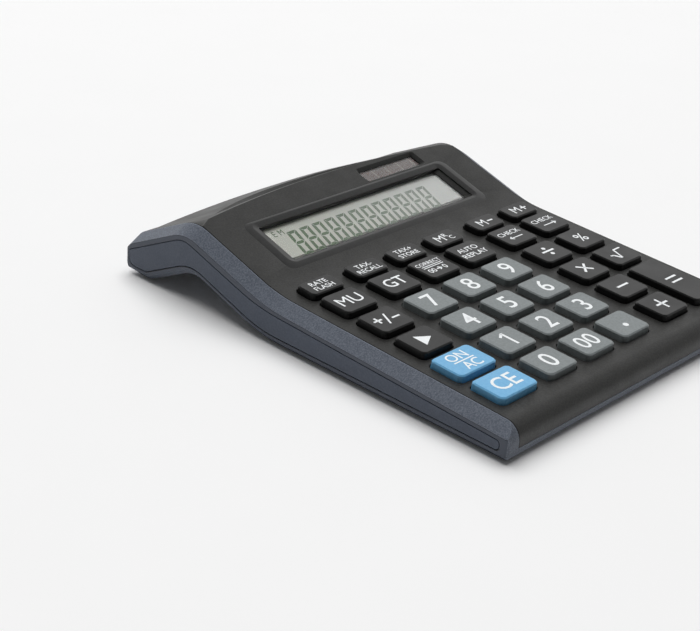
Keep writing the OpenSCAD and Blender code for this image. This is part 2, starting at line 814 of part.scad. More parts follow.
module lcd_frame() {
    w = 2 * (frame_post_x + post_dia / 2 + ring_gap);
    d = window_d + 2 * (ring_gap + ring_t);
    color("#2f3134") on_display() difference() {
        translate([0, 0, frame_m]) slab(w, d, frame_r, frame_t);
        for (x = [-1, 1]) translate([x * window_w / 4, ribbon_land / 2, frame_m - over])
            slab(window_w / 2 - 2 * frame_bar, window_d - 3 * frame_bar, frame_r, frame_t + 2 * over);
        translate([0, -d / 2, 0])
            block(ribbon_w + 2 * over, 2 * (ribbon_land + frame_bar), frame_m - over, lcd_m + over);
        for (x = [-1, 1], t = [-1, 1]) translate([x * frame_post_x, t * frame_post_t, frame_m - over])
            cylinder(d = small_dia + 4 * screw_gap, h = frame_t + 2 * over);
    }
}

module lcd_ribbon() {
    from = -window_d / 2 + ribbon_land;
    bend = -window_d / 2 - 2 * ring_gap - ring_t;
    half = ribbon_t / 2;
    path = [display_point(from, lcd_m - half), display_point(bend, lcd_m - half),
            deck_point(board_back - edge_gap, board_n + half),
            deck_point(board_back - ribbon_land, board_n + half)];
    color("#b98a3c") along_x(ribbon_w) polygon(band(path, ribbon_t));
}

module solar_window() {
    color("#cfd6d4", 0.4) on_solar() translate([0, 0, -solar_sink - solar_window_t])
        slab(solar_pane_w, solar_pane_d, pane_r, solar_window_t);
}

module solar_cell() {
    color("#6e5f5b") on_solar() translate([0, 0, -solar_low])
        slab(solar_pane_w, solar_pane_d, pane_r, solar_cell_t);
}

// Two thin leads from the underside of the cell to the rear edge of the board
module solar_leads() {
    half = lead_t / 2;
    low = frame_m - lead_sag;
    path = [display_point(solar_t, -solar_low), display_point(solar_t, -solar_low - lead_drop),
            display_point(window_d / 2, low), display_point(-window_d / 2, low),
            deck_point(board_back + edge_gap, board_under_n - half),
            deck_point(board_back - ribbon_land, board_under_n - half)];
    for (i = [0, 1]) color(i == 0 ? "#a33a32" : "#26282a")
        translate([cell_x + lead_x + lead_step * i, 0, 0]) along_x(lead_t) polygon(band(path, lead_t));
}

module circuit_board() {
    w = cols[5] - cols[0] + 2 * board_edge;
    mid_s = (board_front + board_back) / 2;
    color("#2f6b45") on_deck() translate([board_mid_x, mid_s, board_under_n])
        linear_extrude(board_t) difference() {
            rounded(w, board_back - board_front, mat_r);
            for (x = board_x, s = board_s)
                translate([x - board_mid_x, s - mid_s]) circle(d = small_dia + 4 * screw_gap);
        }
}

module dome() {
    difference() {
        cylinder(d1 = dome_dia, d2 = plunger_dia + mat_edge, h = dome_h + rubber_t);
        translate([0, 0, -skin])
            cylinder(d1 = dome_dia - 2 * rubber_t, d2 = plunger_dia - 2 * rubber_t, h = dome_h + skin);
    }
}

// Each key's place, with its child drawn there
module at_keys() {
    for (r = [0:5], c = [0:5]) if (c < 5 || r > 1) translate([cols[c], rows[r], 0]) children();
    translate([cols[5], tall_s, 0]) children();
}

module rubber_keypad() {
    w = cols[5] - cols[0] + dome_dia + 2 * mat_edge;
    l = mat_back - board_front - edge_gap;
    color("#9aa0a2") on_deck() translate([0, 0, board_n]) {
        difference() {
            translate([board_mid_x, mat_back - l / 2, 0]) slab(w, l, mat_r, rubber_t);
            for (x = board_x, s = board_s)
                translate([x, s, -over]) cylinder(d = post_dia + 2 * post_gap, h = rubber_t + 2 * over);
            at_keys() translate([0, 0, -over]) cylinder(d = dome_dia - rubber_t, h = rubber_t + 2 * over);
        }
        at_keys() dome();
    }
}

module controller_chip() {
    color("#1c1d1f") on_deck() translate([chip_x, chip_s, board_under_n - chip_h])
        cylinder(d1 = chip_dia - 2 * chip_h, d2 = chip_dia, h = chip_h);
}

module capacitors() {
    color("#a8865a") on_deck() for (i = [0:2]) translate([cap_x + 2 * i * cap_w, chip_s, 0])
        block(cap_w, cap_d, board_under_n - cap_h, board_under_n);
}

module battery_cell() {
    color("#c9cbcc") translate([0, cell_y, cell_z]) {
        cylinder(d = cell_dia - 3 * cell_step, h = cell_t);
        translate([0, 0, cell_step]) cylinder(d = cell_dia, h = cell_t - cell_step);
    }
}

module battery_contact_top() {
    top = z_board(cell_y - finger_w) - cell_gap;
    color("#d0c9a8") translate([0, cell_y, 0]) {
        translate([contact_x, 0, 0]) block(cell_dia + contact_t, 2 * finger_w, cell_top, cell_top + contact_t);
        translate([contact_x - cell_dia / 2, 0, 0]) block(contact_t, finger_w, cell_top, top);
    }
}

module battery_contact_low() {
    top = z_board(cell_y - finger_w) - cell_gap;
    color("#d0c9a8") translate([0, cell_y, 0]) {
        translate([0, 0, cover_top]) cylinder(d = cell_dia - 2 * cell_step, h = contact_t);
        translate([finger_x / 2, 0, 0])
            block(finger_x + contact_t, finger_w, cover_top, cover_top + contact_t);
        translate([finger_x, 0, 0]) block(contact_t, finger_w, cover_top, top);
    }
}

module battery_cover() {
    color(rail_blue) difference() {
        translate([0, cover_y, foot_h])
            slab(cover_w - 2 * cover_gap, cover_l - 2 * cover_gap, cover_r - cover_gap, cover_t);
        translate([0, cover_screw_y, foot_h - over]) {
            cylinder(d = small_dia + 4 * screw_gap, h = cover_t + 2 * over);
            cylinder(d = small_head + 4 * screw_gap, h = over + small_head_h);
        }
        for (i = [2:5]) translate([0, cover_y + cover_l / 2 - grip_step * i, 0])
            block(grip_w, grip_t, foot_h - over, foot_h + grip_in);
    }
}

// Pan-head screw with a cross recess, head down, thread up from z = 0
module screw(d, l, head, head_h) {
    difference() {
        union() {
            cylinder(d = d, h = l);
            translate([0, 0, -head_h]) cylinder(d1 = head - head_h / 2, d2 = head, h = head_h);
        }
        for (a = [0, 90]) rotate(a) block(head * 0.6, head * 0.14, -head_h - 1, -head_h * 0.45);
    }
}

module case_screws() {
    color("#8d9196") for (p = screw_places) translate([p[0], p[1], boss_low(p)])
        screw(screw_dia, boss_h + screw_grip, screw_head, screw_head_h);
}

module small_screws() {
    color("#8d9196") {
        on_deck() for (x = board_x, s = board_s)
            translate([x, s, board_under_n]) screw(small_dia, small_len, small_head, small_head_h);
        on_display() for (x = [-1, 1], t = [-1, 1]) translate([x * frame_post_x, t * frame_post_t, frame_m])
            screw(small_dia, small_len, small_head, small_head_h);
        translate([0, cover_screw_y, foot_h + small_head_h])
            screw(small_dia, small_len, small_head, small_head_h);
    }
}

module rubber_feet() {
    color("#202123") for (x = [-1, 1], y = [front_foot_y, rear_foot_y])
        translate([x * foot_x, y, 0]) slab(foot_l, foot_w, foot_w / 2 - foot_gap, foot_h + foot_in);
}

// Hollow key cap with a plunger, cross ribs and two stop tabs, standing on the deck
module key(x, s, w, d, rise = key_rise, tilt = 0) {
    roof = rise - key_wall - d / 2 * tan(tilt);
    on_deck() translate([x, s, 0]) {
        difference() {
            hull() {
                translate([0, 0, tab_n]) hull_slab(w + 2 * key_draft, d + 2 * key_draft, key_r + key_draft);
                translate([0, 0, rise]) rotate([tilt, 0, 0]) {
                    translate([0, 0, -key_edge]) hull_slab(w, d, key_r);
                    translate([0, 0, -skin])
                        hull_slab(w - 2 * key_edge, d - 2 * key_edge, key_r - key_edge / 2);
                }
            }
            block(w - 2 * key_wall, d - 2 * key_wall, tab_n - over, roof);
        }
        translate([0, 0, tab_n]) cylinder(d = plunger_dia, h = roof - tab_n + skin);
        block(w - 2 * key_wall + skin, key_rib, tab_n + key_rib, roof + skin);
        block(key_rib, d - 2 * key_wall + skin, tab_n + key_rib, roof + skin);
        for (i = [-1, 1]) translate([i * (w / 2 + key_draft + (key_gap + tab_w) / 2 - tab_root / 2), 0, 0])
            block(key_gap + tab_w + tab_root, tab_l, tab_n, tab_n + tab_t);
    }
}

module plain_key(c, r) {
    key(cols[c], rows[r], top_w, top_d);
}

module short_key(c) {
    key(cols[c], rows[5], top_w, short_top_d, key_rise + short_rise, short_tilt);
}

module wide_key(r) {
    key(cols[0], rows[r], wide_top_w, top_d);
}

module key_rate() { color(key_black) short_key(0); }
module key_tax_minus() { color(key_black) short_key(1); }
module key_tax_plus() { color(key_black) short_key(2); }
module key_recall() { color(key_black) short_key(3); }
module key_m_minus() { color(key_black) short_key(4); }
module key_m_plus() { color(key_black) short_key(5); }
module key_mark_up() { color(key_black) plain_key(0, 4); }
module key_total() { color(key_black) plain_key(1, 4); }
module key_correct() { color(key_black) plain_key(2, 4); }
module key_replay() { color(key_black) plain_key(3, 4); }
module key_check_back() { color(key_black) plain_key(4, 4); }
module key_check_on() { color(key_black) plain_key(5, 4); }
module key_sign() { color(key_black) plain_key(0, 3); }
module key_7() { color(key_grey) plain_key(1, 3); }
module key_8() { color(key_grey) plain_key(2, 3); }
module key_9() { color(key_grey) plain_key(3, 3); }
module key_divide() { color(key_black) plain_key(4, 3); }
module key_percent() { color(key_black) plain_key(5, 3); }
module key_shift() { color(key_black) plain_key(0, 2); }
module key_4() { color(key_grey) plain_key(1, 2); }
module key_5() { color(key_grey) plain_key(2, 2); }
module key_6() { color(key_grey) plain_key(3, 2); }
module key_multiply() { color(key_black) plain_key(4, 2); }
module key_root() { color(key_black) plain_key(5, 2); }
module key_on() { color(key_blue) wide_key(1); }
module key_1() { color(key_grey) plain_key(1, 1); }
module key_2() { color(key_grey) plain_key(2, 1); }
module key_3() { color(key_grey) plain_key(3, 1); }
module key_minus() { color(key_black) plain_key(4, 1); }
module key_equals() { color(key_black) key(cols[5], tall_s, top_w, tall_top_d); }
module key_clear() { color(key_blue) wide_key(0); }
module key_0() { color(key_grey) plain_key(1, 0); }
module key_00() { color(key_grey) plain_key(2, 0); }
module key_point() { color(key_grey) plain_key(3, 0); }
module key_plus() { color(key_black) plain_key(4, 0); }

upper_case();
lower_case();
side_inlay_left();
side_inlay_right();
display_window();
lcd_panel();
lcd_frame();
lcd_ribbon();
solar_window();
solar_cell();
solar_leads();
circuit_board();
rubber_keypad();
controller_chip();
capacitors();
battery_cell();
battery_contact_top();
battery_contact_low();
battery_cover();
case_screws();
small_screws();
rubber_feet();
key_rate();
key_tax_minus();
key_tax_plus();
key_recall();
key_m_minus();
key_m_plus();
key_mark_up();
key_total();
key_correct();
key_replay();
key_check_back();
key_check_on();
key_sign();
key_7();
key_8();
key_9();
key_divide();
key_percent();
key_shift();
key_4();
key_5();
key_6();
key_multiply();
key_root();
key_on();
key_1();
key_2();
key_3();
key_minus();
key_equals();
key_clear();
key_0();
key_00();
key_point();
key_plus();
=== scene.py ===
# %% [markdown]
# # A desktop calculator, dressed for its portrait
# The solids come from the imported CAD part, already in metres and in place. This lesson gives
# them their finishes, prints the legends on the keys, draws the figures in the display, and
# sets up the camera and the light of the photograph.

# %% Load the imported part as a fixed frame
import json
import math

import bmesh
import bpy
from mathutils import Matrix, Vector


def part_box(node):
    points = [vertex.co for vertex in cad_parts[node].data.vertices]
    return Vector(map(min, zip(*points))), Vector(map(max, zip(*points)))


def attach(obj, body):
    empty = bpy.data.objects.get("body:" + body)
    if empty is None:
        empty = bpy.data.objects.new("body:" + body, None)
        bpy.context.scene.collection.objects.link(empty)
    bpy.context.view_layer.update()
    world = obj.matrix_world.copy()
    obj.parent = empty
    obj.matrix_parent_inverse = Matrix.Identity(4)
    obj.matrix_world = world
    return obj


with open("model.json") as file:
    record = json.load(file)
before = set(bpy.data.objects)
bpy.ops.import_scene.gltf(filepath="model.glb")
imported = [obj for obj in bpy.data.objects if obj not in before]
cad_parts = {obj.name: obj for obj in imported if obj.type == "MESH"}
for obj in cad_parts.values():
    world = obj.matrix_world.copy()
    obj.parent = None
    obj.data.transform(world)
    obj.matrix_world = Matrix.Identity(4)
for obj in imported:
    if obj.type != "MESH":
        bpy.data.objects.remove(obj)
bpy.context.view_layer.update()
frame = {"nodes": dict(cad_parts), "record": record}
nodes = frame["nodes"]
MM = 0.001

# %% [markdown]
# ## The camera
# The photographer stood at the front left corner, about 26 degrees above the table, with a long
# lens and the camera rolled by about 5 degrees. Place, turn and lens were solved from the grid of
# the keys, so the numbers are written down as they are. A Blender camera looks along its own -Z
# with +Y up, so its turn is the matrix with right, up and back as columns.

# %% Make the camera
SENSOR_MM = 36
LENS_MM = 82.29
CAMERA_MM = Vector((-419.93, -319.45, 248.32))
LOOK = Vector((0.6805, 0.5861, -0.4398)).normalized()
RIGHT = LOOK.cross(Vector((0.2770, 0.3499, 0.8949))).normalized()
UP = RIGHT.cross(LOOK)

camera_data = bpy.data.cameras.new("photo_camera")
camera_data.sensor_width = SENSOR_MM
camera_data.lens = LENS_MM
camera_data.clip_start = 10 * MM
camera = bpy.data.objects.new("photo_camera", camera_data)
bpy.context.scene.collection.objects.link(camera)
turn = Matrix((RIGHT, UP, -LOOK)).transposed().to_4x4()
camera.matrix_world = Matrix.Translation(CAMERA_MM * MM) @ turn
bpy.context.scene.camera = camera
print("camera at", [round(x) for x in CAMERA_MM], "mm, looking down",
      round(math.degrees(math.asin(-LOOK.z)), 1), "degrees")

# %% [markdown]
# ## Colours and nodes
# Shader sockets take linear colour, while a colour given as hex is sRGB, so one function turns
# a hex value to linear. A second small function adds any node with its settings, its values and
# its links, and a third mixes two tones, which keeps each finish below readable as a recipe.

# %% Helpers for materials
# a Mix node has a pair of sockets for each kind of value, and these are the ones for colour
MIX_A, MIX_B, MIX_OUT = 6, 7, 2


def linear(hex_colour):
    """A hex colour as linear RGBA."""
    shares = [int(hex_colour[i:i + 2], 16) / 255 for i in (1, 3, 5)]
    return [c / 12.92 if c <= 0.04045 else ((c + 0.055) / 1.055) ** 2.4 for c in shares] + [1.0]


def add_node(tree, kind, settings=None, values=None, links=None):
    """A new node with its settings, the values of its sockets, and links from other sockets."""
    node = tree.nodes.new(kind)
    for name, value in (settings or {}).items():
        setattr(node, name, value)
    for name, value in (values or {}).items():
        node.inputs[name].default_value = value
    for name, source in (links or {}).items():
        tree.links.new(source, node.inputs[name])
    return node


def mix_tones(tree, share, first, second):
    """A colour that goes from the first tone to the second as share goes from 0 to 1."""
    return add_node(tree, "ShaderNodeMix", {"data_type": "RGBA"},
                    {MIX_A: linear(first), MIX_B: linear(second)}, {0: share}).outputs[MIX_OUT]


def per_mm(size_mm):
    """The scale at which a texture's cells are size_mm wide, as scale 1 makes them a metre wide."""
    return 1 / (size_mm * MM)


def start_finish(name, **values):
    """A material with its shader, the shader's constant values set, and Object coordinates."""
    material = bpy.data.materials.new(name)
    material.use_nodes = True
    tree = material.node_tree
    tree.nodes.clear()
    sockets = {key.replace("_", " "): value for key, value in values.items()}
    shader = add_node(tree, "ShaderNodeBsdfPrincipled", values=sockets)
    add_node(tree, "ShaderNodeOutputMaterial", links={"Surface": shader.outputs["BSDF"]})
    place = add_node(tree, "ShaderNodeTexCoord").outputs["Object"]
    return material, tree, shader, place


print("black in linear:", [round(c, 4) for c in linear("#242424")[:3]])

# %% [markdown]
# ## The floor and the light
# The picture was taken on a pale sheet under a large soft light, with a bright wall behind on the
# right and a dim room on the left: the left and front walls of the keys are nearly black. The floor
# is a wide plate. One big softbox hangs above and a little behind, and reflections don't show it,
# so all gloss comes from the world, whose strength follows the direction. Together they bring a
# white sheet to just below white, so each colour renders about as it is written. The camera sees
# the world as plain white.

# %% Make the floor
FLOOR_SIDE = 3.0
FLOOR_GLOW = 0.015


def seen_rays(tree):
    """Two masks: rays from the camera, and rays that a glossy or clear surface sends on."""
    path = add_node(tree, "ShaderNodeLightPath")
    mirrored = add_node(tree, "ShaderNodeMath", {"operation": "MAXIMUM"},
                        links={0: path.outputs["Is Glossy Ray"],
                               1: path.outputs["Is Transmission Ray"]})
    return path.outputs["Is Camera Ray"], mirrored.outputs[0]


floor_bm = bmesh.new()
bmesh.ops.create_grid(floor_bm, x_segments=1, y_segments=1, size=FLOOR_SIDE)
floor_mesh = bpy.data.meshes.new("floor")
floor_bm.to_mesh(floor_mesh)
floor_bm.free()
floor = bpy.data.objects.new("floor", floor_mesh)
bpy.context.scene.collection.objects.link(floor)
sheet, tree, shader, place = start_finish("matt_white_sheet", Roughness=0.9, IOR=1.45)
fibre = add_node(tree, "ShaderNodeTexNoise", values={"Scale": per_mm(40), "Detail": 2.0},
                 links={"Vector": place})
tone = mix_tones(tree, fibre.outputs["Fac"], "#fafafa", "#fcfcfc")
tree.links.new(tone, shader.inputs["Base Color"])
# a trace of glow in what is seen of the sheet, which keeps the deepest shade from going black
to_camera, to_mirror = seen_rays(tree)
viewed = add_node(tree, "ShaderNodeMath", {"operation": "MAXIMUM"},
                  links={0: to_camera, 1: to_mirror})
share = add_node(tree, "ShaderNodeMath", {"operation": "MULTIPLY"}, {1: FLOOR_GLOW},
                 {0: viewed.outputs[0]})
glow = add_node(tree, "ShaderNodeEmission", values={"Color": linear("#fafafa"), "Strength": 1.0})
lifted = add_node(tree, "ShaderNodeMixShader",
                  links={0: share.outputs[0], 1: shader.outputs["BSDF"], 2: glow.outputs[0]})
tree.links.new(lifted.outputs[0], tree.get_output_node("ALL").inputs["Surface"])
floor_mesh.materials.append(sheet)
print("floor of", 2 * FLOOR_SIDE, "m")

# %% Hang the softbox and make the world
LAMP_SIDE = 4.6
LAMP_WATTS = 198.0
LAMP_AT = Vector((0.6, 1.3, 4.0))
softbox = bpy.data.lights.new("ceiling_softbox", "AREA")
softbox.shape = "SQUARE"
softbox.size = LAMP_SIDE
softbox.energy = LAMP_WATTS
ceiling = bpy.data.objects.new("ceiling_softbox", softbox)
bpy.context.scene.collection.objects.link(ceiling)
ceiling.location = LAMP_AT
ceiling.rotation_mode = "QUATERNION"
ceiling.rotation_quaternion = (-LAMP_AT).to_track_quat("-Z", "Y")
ceiling.visible_glossy = False

# how much a direction agrees with the bright side, and the strengths at the two ends
BRIGHT_SIDE = (0.75, 0.62, 0.22)
DIM_AT, BRIGHT_AT = -0.3, 0.8
DIM, BRIGHT = 0.06, 0.4
# the white wall that gloss shows: its direction, where it fades at the sides and at the top
WALL_SIDE = (0.76, 0.65, 0.0)
WALL_NONE, WALL_FULL = 0.25, 0.6
WALL_ABOVE, WALL_BELOW = 0.74, 0.58
WHITE = (1, 1, 1, 1)

world = bpy.data.worlds.new("studio")
bpy.context.scene.world = world
world.use_nodes = True
tree = world.node_tree
tree.nodes.clear()
way = add_node(tree, "ShaderNodeTexCoord").outputs["Generated"]
facing = add_node(tree, "ShaderNodeVectorMath", {"operation": "DOT_PRODUCT"}, {1: BRIGHT_SIDE},
                  {0: way})
level = add_node(tree, "ShaderNodeMapRange",
                 values={"From Min": DIM_AT, "From Max": BRIGHT_AT,
                         "To Min": DIM, "To Max": BRIGHT},
                 links={"Value": facing.outputs["Value"]})
room = add_node(tree, "ShaderNodeBackground", values={"Color": WHITE},
                links={"Strength": level.outputs["Result"]})
white = add_node(tree, "ShaderNodeBackground", values={"Color": WHITE, "Strength": 1.0})
towards = add_node(tree, "ShaderNodeVectorMath", {"operation": "DOT_PRODUCT"}, {1: WALL_SIDE},
                   {0: way})
width = add_node(tree, "ShaderNodeMapRange", values={"From Min": WALL_NONE, "From Max": WALL_FULL},
                 links={"Value": towards.outputs["Value"]})
rise = add_node(tree, "ShaderNodeSeparateXYZ", links={0: way}).outputs["Z"]
height = add_node(tree, "ShaderNodeMapRange",
                  values={"From Min": WALL_ABOVE, "From Max": WALL_BELOW}, links={"Value": rise})
wall = add_node(tree, "ShaderNodeMath", {"operation": "MULTIPLY"},
                links={0: width.outputs["Result"], 1: height.outputs["Result"]})
to_camera, to_mirror = seen_rays(tree)
behind = add_node(tree, "ShaderNodeMath", {"operation": "MULTIPLY"},
                  links={0: to_mirror, 1: wall.outputs[0]})
shown = add_node(tree, "ShaderNodeMath", {"operation": "MAXIMUM"},
                 links={0: behind.outputs[0], 1: to_camera})
sky = add_node(tree, "ShaderNodeMixShader",
               links={0: shown.outputs[0], 1: room.outputs[0], 2: white.outputs[0]})
add_node(tree, "ShaderNodeOutputWorld", links={"Surface": sky.outputs[0]})
bpy.context.scene.view_settings.view_transform = "Standard"

# %% [markdown]
# ## Moulded plastic
# Nearly everything that shows is ABS from a mould. The mould is spark-eroded, which leaves a fine
# even grain on the black top, and smoother polished steel leaves a satin face on the keys. Grain
# is a noise in the bump, a slower noise shifts tone and gloss a little, and the Bevel node finds
# the edges, which are painted a touch lighter: partly the polish of handling, partly a painted
# highlight where the edges catch the light. The real grain is about 0.15 mm, too fine for the
# picture, so it is drawn coarser.

# %% A recipe for moulded plastic
SLOW_MM = 9
# a noise stays mostly between these values, and gloss takes the middle of them
NOISE_LOW, NOISE_HIGH = 0.3, 0.7
SHEEN_LOW, SHEEN_HIGH = 0.35, 0.65
# how far two normals agree on a flat face and on an edge, and how evenly the edges are painted
# lighter, for wear and for the painted highlight they catch
ON_FLAT, ON_EDGE = 0.995, 0.9
EDGE_LIGHT_LEAST, EDGE_LIGHT_MOST = 0.5, 0.9


def moulded_plastic(name, tone, worn_highlit_fleck_tone, gloss, grain_mm, grain_deep_mm, edge_mm=0.35, fleck=0.22,
                    **values):
    """Plastic of one tone, lighter on its edges from wear and a painted highlight, with gloss
    between two roughnesses and a grain.
    """
    material, tree, shader, place = start_finish(name, IOR=1.52, **values)
    slow = add_node(tree, "ShaderNodeTexNoise", values={"Scale": per_mm(SLOW_MM), "Detail": 4.0},
                    links={"Vector": place})
    fine = add_node(tree, "ShaderNodeTexNoise", values={"Scale": per_mm(grain_mm), "Detail": 1.0},
                    links={"Vector": place})
    soft = add_node(tree, "ShaderNodeBevel", {"samples": 4}, {"Radius": edge_mm * MM})
    true = add_node(tree, "ShaderNodeNewGeometry")
    turned = add_node(tree, "ShaderNodeVectorMath", {"operation": "DOT_PRODUCT"},
                      links={0: soft.outputs["Normal"], 1: true.outputs["Normal"]})
    edge = add_node(tree, "ShaderNodeMapRange", values={"From Min": ON_FLAT, "From Max": ON_EDGE},
                    links={"Value": turned.outputs["Value"]})
    uneven = add_node(tree, "ShaderNodeMapRange",
                      values={"From Min": NOISE_LOW, "From Max": NOISE_HIGH,
                              "To Min": EDGE_LIGHT_LEAST, "To Max": EDGE_LIGHT_MOST},
                      links={"Value": slow.outputs["Fac"]})
    # edges painted lighter: partly the polish of handling, partly a painted highlight where they
    # catch the light
    rubbed_and_highlit = add_node(tree, "ShaderNodeMath", {"operation": "MULTIPLY"},
                      links={0: edge.outputs["Result"], 1: uneven.outputs["Result"]})
    dust = add_node(tree, "ShaderNodeMapRange",
                    values={"From Min": NOISE_LOW, "From Max": NOISE_HIGH, "To Max": fleck},
                    links={"Value": fine.outputs["Fac"]})
    lift = add_node(tree, "ShaderNodeMath", {"operation": "MAXIMUM"},
                    links={0: rubbed_and_highlit.outputs[0], 1: dust.outputs["Result"]})
    colour = mix_tones(tree, lift.outputs[0], tone, worn_highlit_fleck_tone)
    sheen = add_node(tree, "ShaderNodeMapRange",
                     values={"From Min": SHEEN_LOW, "From Max": SHEEN_HIGH,
                             "To Min": gloss[0], "To Max": gloss[1]},
                     links={"Value": slow.outputs["Fac"]})
    bump = add_node(tree, "ShaderNodeBump",
                    values={"Strength": 1.0, "Distance": grain_deep_mm * MM},
                    links={"Height": fine.outputs["Fac"], "Normal": soft.outputs["Normal"]})
    tree.links.new(colour, shader.inputs["Base Color"])
    tree.links.new(sheen.outputs["Result"], shader.inputs["Roughness"])
    tree.links.new(bump.outputs["Normal"], shader.inputs["Normal"])
    return material


print("recipe for plastic: clouds of", SLOW_MM, "mm, and a finer grain")

# %% Finishes for the shells and the keys
# black ABS with a spark-eroded grain: dull, with a soft sheen at a low angle
shell_black = moulded_plastic("black_abs_textured", "#212120", "#454543", (0.46, 0.54), 0.6, 0.03,
                              fleck=0.35)
# black ABS from polished steel: the rim of the display, which mirrors the light softly
rim_black = moulded_plastic("black_abs_polished", "#191919", "#3c3c3b", (0.3, 0.36), 0.9, 0.002)
# satin black ABS: smoother than the shell, so its flat tops pick up more of the light
key_black = moulded_plastic("black_abs_satin", "#0e0e0e", "#242424", (0.36, 0.42), 0.9, 0.004,
                            edge_mm=0.2)
# grey ABS for the number keys, satin
key_grey = moulded_plastic("grey_abs_satin", "#767c7d", "#a0a7a8", (0.38, 0.44), 0.9, 0.004,
                           edge_mm=0.2)
# light blue ABS for the two command keys, satin
key_blue = moulded_plastic("blue_abs_satin", "#63acdb", "#9ad2ef", (0.36, 0.42), 0.9, 0.004,
                           edge_mm=0.2, Specular_IOR_Level=0.8)
# blue-grey ABS with a little metal flake in the pigment, satin
rail_blue = moulded_plastic("blue_grey_abs_flake", "#4d535e", "#9ba3b0", (0.5, 0.56), 0.5, 0.02,
                            fleck=0.3, Metallic=0.1)
# the same plastic on the let-in panels, a little flatter
inlay_blue = moulded_plastic("blue_grey_abs_panel", "#424a58", "#656e80", (0.5, 0.56), 0.6, 0.012,
                             Metallic=0.1)
plastics = (shell_black, rim_black, key_black, key_grey, key_blue, rail_blue, inlay_blue)
print("plastics:", [m.name for m in plastics])

# %% [markdown]
# ## Painted shade where the mouldings meet
# Two thin dark lines of painted shade draw the case: the shade in the gap between the black top and
# the rail, and the shade at the edge where the rail's band turns down to its smooth side, where the
# band's grain stops. Each is a mask, from the place or the direction of the surface, that lays
# another tone over the colour.

# %% Draw the lines
# the painted shade of the gap between the top and the rail: its width, and the width of its fade
GAP_SHADE_MM = 0.45
GAP_SHADE_FADE_MM = 0.12
TOP_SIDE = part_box("upper_case")[1][0]
# the share of a normal that points sideways, on the band and on the edge below it
ON_BAND, ON_RAIL_EDGE = 0.76, 0.8
# the painted shade line where the band turns down: the radius over which the normal is averaged,
# and how far that leans up where the line starts and where it is full
SHADE_LINE_MM = 0.4
LEAN_NONE, LEAN_SHADE_LINE = 0.05, 0.09


def lay_tone(material, mask, tone):
    """Mix a tone over a material's colour where the mask is 1."""
    tree = material.node_tree
    colour = next(n for n in tree.nodes if n.type == "BSDF_PRINCIPLED").inputs["Base Color"]
    over = add_node(tree, "ShaderNodeMix", {"data_type": "RGBA"}, {MIX_B: linear(tone)},
                    {0: mask, MIX_A: colour.links[0].from_socket})
    tree.links.new(over.outputs[MIX_OUT], colour)


def axis_mask(tree, source, axis, low, high, signed=False):
    """A mask from 0 to 1 as one axis of a vector goes from low to high, unsigned unless asked."""
    value = add_node(tree, "ShaderNodeSeparateXYZ", links={0: source}).outputs[axis]
    if not signed:
        size = add_node(tree, "ShaderNodeMath", {"operation": "ABSOLUTE"}, links={0: value})
        value = size.outputs[0]
    return add_node(tree, "ShaderNodeMapRange", values={"From Min": low, "From Max": high},
                    links={"Value": value}).outputs["Result"]


# painted shade of the gap: the outermost strip of the top is painted near black, for the shade in
# the gap beside the rail
tree = shell_black.node_tree
place = add_node(tree, "ShaderNodeTexCoord").outputs["Object"]
gap_shade_from = TOP_SIDE - GAP_SHADE_MM * MM
painted_gap_shade = axis_mask(tree, place, "X", gap_shade_from, gap_shade_from + GAP_SHADE_FADE_MM * MM)
lay_tone(shell_black, painted_gap_shade, "#030303")

# the edge of the rail: smooth, with no flake, and a fine dark line of painted shade where it meets
# the band, for the shade where the surface turns down; it lies where the normal, averaged over a
# small radius, leans up more than the face does
tree = rail_blue.node_tree
facing = add_node(tree, "ShaderNodeNewGeometry").outputs["True Normal"]
sideways = axis_mask(tree, facing, "X", ON_BAND, ON_RAIL_EDGE)
lay_tone(rail_blue, sideways, "#484e5a")
rounded = add_node(tree, "ShaderNodeBevel", {"samples": 8},
                   {"Radius": SHADE_LINE_MM * MM}).outputs["Normal"]
lean = add_node(tree, "ShaderNodeVectorMath", {"operation": "SUBTRACT"},
                links={0: rounded, 1: facing}).outputs[0]
leans_up = axis_mask(tree, lean, "Z", LEAN_NONE, LEAN_SHADE_LINE, signed=True)
shade_line = add_node(tree, "ShaderNodeMath", {"operation": "MULTIPLY"}, links={0: sideways, 1: leans_up})
lay_tone(rail_blue, shade_line.outputs[0], "#0a0c10")
print("the top ends", round(TOP_SIDE / MM, 2), "mm from the middle")

# %% [markdown]
# ## The display and the solar cell
# Behind a clear acrylic window lies the liquid crystal panel: glass under a polariser film, which
# looks like dull silver with a green cast. The solar cell is amorphous silicon on glass, brown and
# glossy, scribed into a row of cells.

# %% Finishes for the display and the cell
FADE_MM = (-44, 36)
SPECKLE = 0.12
CELL_PITCH_MM = 7.2
SCRIBE_SHARE = 0.05


def fade_across(tree, place, left, right):
    """A colour that goes from one tone at the left of the display to another at its right."""
    across = add_node(tree, "ShaderNodeSeparateXYZ", links={0: place})
    fade = add_node(tree, "ShaderNodeMapRange",
                    values={"From Min": FADE_MM[0] * MM, "From Max": FADE_MM[1] * MM},
                    links={"Value": across.outputs["X"]})
    return mix_tones(tree, fade.outputs["Result"], left, right)


# clear acrylic: the light passes, and a faint reflection stays
acrylic, tree, shader, place = start_finish(
    "clear_acrylic", Base_Color=linear("#fdfffe"), Transmission_Weight=1.0, IOR=1.49)
haze = add_node(tree, "ShaderNodeTexNoise", values={"Scale": per_mm(6), "Detail": 3.0},
                links={"Vector": place})
rough = add_node(tree, "ShaderNodeMapRange", values={"To Min": 0.02, "To Max": 0.07},
                 links={"Value": haze.outputs["Fac"]})
tree.links.new(rough.outputs["Result"], shader.inputs["Roughness"])

